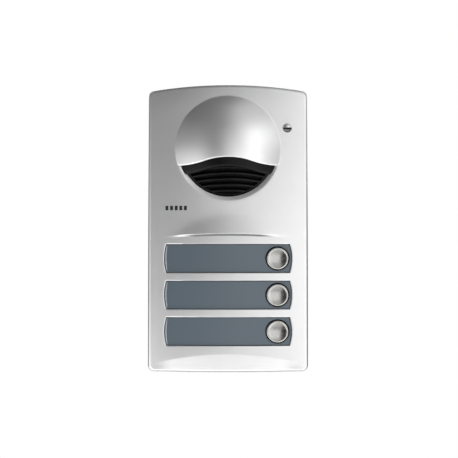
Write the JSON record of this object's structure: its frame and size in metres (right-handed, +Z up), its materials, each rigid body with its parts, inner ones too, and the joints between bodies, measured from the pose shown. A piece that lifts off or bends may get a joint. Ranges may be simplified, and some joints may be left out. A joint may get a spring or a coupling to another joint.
{
  "type": "door intercom panel",
  "caption": "Tall wall panel with an arched top, a round louvred speaker hood, a small microphone port and dished push buttons beside curved name windows.",
  "frame": {"origin": "centre of the wall-side mounting plane, at the middle of the mounting frame's four wall screws", "axes": "+X to the visitor's right, +Y into the wall, +Z up; the front faces -Y"},
  "size_m": [0.125, 0.0641, 0.224],
  "materials": {
    "satin_metal": "satin silver",
    "dark_inlay": "matte",
    "black_plastic": "fine satin",
    "felt": "woven",
    "grey_plastic": "moulded",
    "zinc_steel": "zinc plated",
    "black_rubber": "matte",
    "magnet_iron": "sintered",
    "paper_cone": "pressed paper",
    "capsule_metal": "satin",
    "clear_window": "gloss",
    "card": "printed card",
    "white_plastic": "translucent",
    "button_metal": "spun satin",
    "circuit_board": "solder mask",
    "blue_plastic": "moulded",
    "green_plastic": "moulded",
    "dark_sleeve": "shrink sleeve"
  },
  "bodies": {
    "panel": {"fascia": "satin_metal", "marker_inlays": "dark_inlay", "speaker_grille": "black_plastic", "acoustic_felt": "felt", "speaker_baffle": "grey_plastic", "baffle_screws": "zinc_steel", "speaker_gasket": "black_rubber", "speaker_basket": "zinc_steel", "speaker_magnet": "magnet_iron", "speaker_surround": "black_rubber", "mic_boot": "black_rubber", "mic_capsule": "capsule_metal", "name_window_1": "clear_window", "name_window_2": "clear_window", "name_window_3": "clear_window", "name_card_1": "card", "name_card_2": "card", "name_card_3": "card", "light_guide": "white_plastic", "light_guide_screws": "zinc_steel", "button_ring_1": "black_plastic", "button_ring_2": "black_plastic", "button_ring_3": "black_plastic", "button_spring_1": "zinc_steel", "button_spring_2": "zinc_steel", "button_spring_3": "zinc_steel", "main_board": "circuit_board", "board_screws": "zinc_steel", "switch_bodies": "black_plastic", "indicator_leds": "white_plastic", "integrated_circuits": "black_plastic", "capacitors": "dark_sleeve", "terminal_block": "green_plastic", "terminal_screws": "zinc_steel", "trimmer_bodies": "blue_plastic", "lead_header": "white_plastic", "rear_housing": "grey_plastic", "housing_screws": "zinc_steel", "cable_grommet": "black_rubber", "mounting_frame": "zinc_steel", "security_screws": "zinc_steel", "weather_seal": "black_rubber"},
    "speaker_diaphragm": {"speaker_cone": "paper_cone"},
    "button_1": {"button_cap_1": "button_metal", "button_plunger_1": "black_plastic"},
    "button_2": {"button_cap_2": "button_metal", "button_plunger_2": "black_plastic"},
    "button_3": {"button_cap_3": "button_metal", "button_plunger_3": "black_plastic"},
    "switch_1": {"switch_actuator_1": "white_plastic"},
    "switch_2": {"switch_actuator_2": "white_plastic"},
    "switch_3": {"switch_actuator_3": "white_plastic"},
    "speech_level": {"trimmer_rotor_1": "white_plastic"},
    "microphone_level": {"trimmer_rotor_2": "white_plastic"}
  },
  "joints": [
    {"name": "button_1_press", "type": "slide", "parent": "panel", "child": "button_1", "axis": [0, 1, 0], "range_m": [0, 0.001], "stiffness_N_per_m": 1500, "springref_m": -0.001, "deforming": ["button_spring_1"]},
    {"name": "button_2_press", "type": "slide", "parent": "panel", "child": "button_2", "axis": [0, 1, 0], "range_m": [0, 0.001], "stiffness_N_per_m": 1500, "springref_m": -0.001, "deforming": ["button_spring_2"]},
    {"name": "button_3_press", "type": "slide", "parent": "panel", "child": "button_3", "axis": [0, 1, 0], "range_m": [0, 0.001], "stiffness_N_per_m": 1500, "springref_m": -0.001, "deforming": ["button_spring_3"]},
    {"name": "switch_1_press", "type": "slide", "parent": "panel", "child": "switch_1", "axis": [0, 1, 0], "range_m": [0, 0.0012]},
    {"name": "switch_2_press", "type": "slide", "parent": "panel", "child": "switch_2", "axis": [0, 1, 0], "range_m": [0, 0.0012]},
    {"name": "switch_3_press", "type": "slide", "parent": "panel", "child": "switch_3", "axis": [0, 1, 0], "range_m": [0, 0.0012]},
    {"name": "cone_travel", "type": "slide", "parent": "panel", "child": "speaker_diaphragm", "axis": [0, 1, 0], "range_m": [-0.0005, 0.0005], "stiffness_N_per_m": 1500, "deforming": ["speaker_surround"]},
    {"name": "speech_level_turn", "type": "hinge", "parent": "panel", "child": "speech_level", "pos_m": [-0.006, 0.003, -0.03], "axis": [0, 1, 0], "range_deg": [-135, 135]},
    {"name": "microphone_level_turn", "type": "hinge", "parent": "panel", "child": "microphone_level", "pos_m": [0.008, 0.003, -0.03], "axis": [0, 1, 0], "range_deg": [-135, 135]}
  ],
  "couplings": [
    {"joint": "switch_1_press", "follows": "button_1_press", "ratio": 1},
    {"joint": "switch_2_press", "follows": "button_2_press", "ratio": 1},
    {"joint": "switch_3_press", "follows": "button_3_press", "ratio": 1}
  ]
}
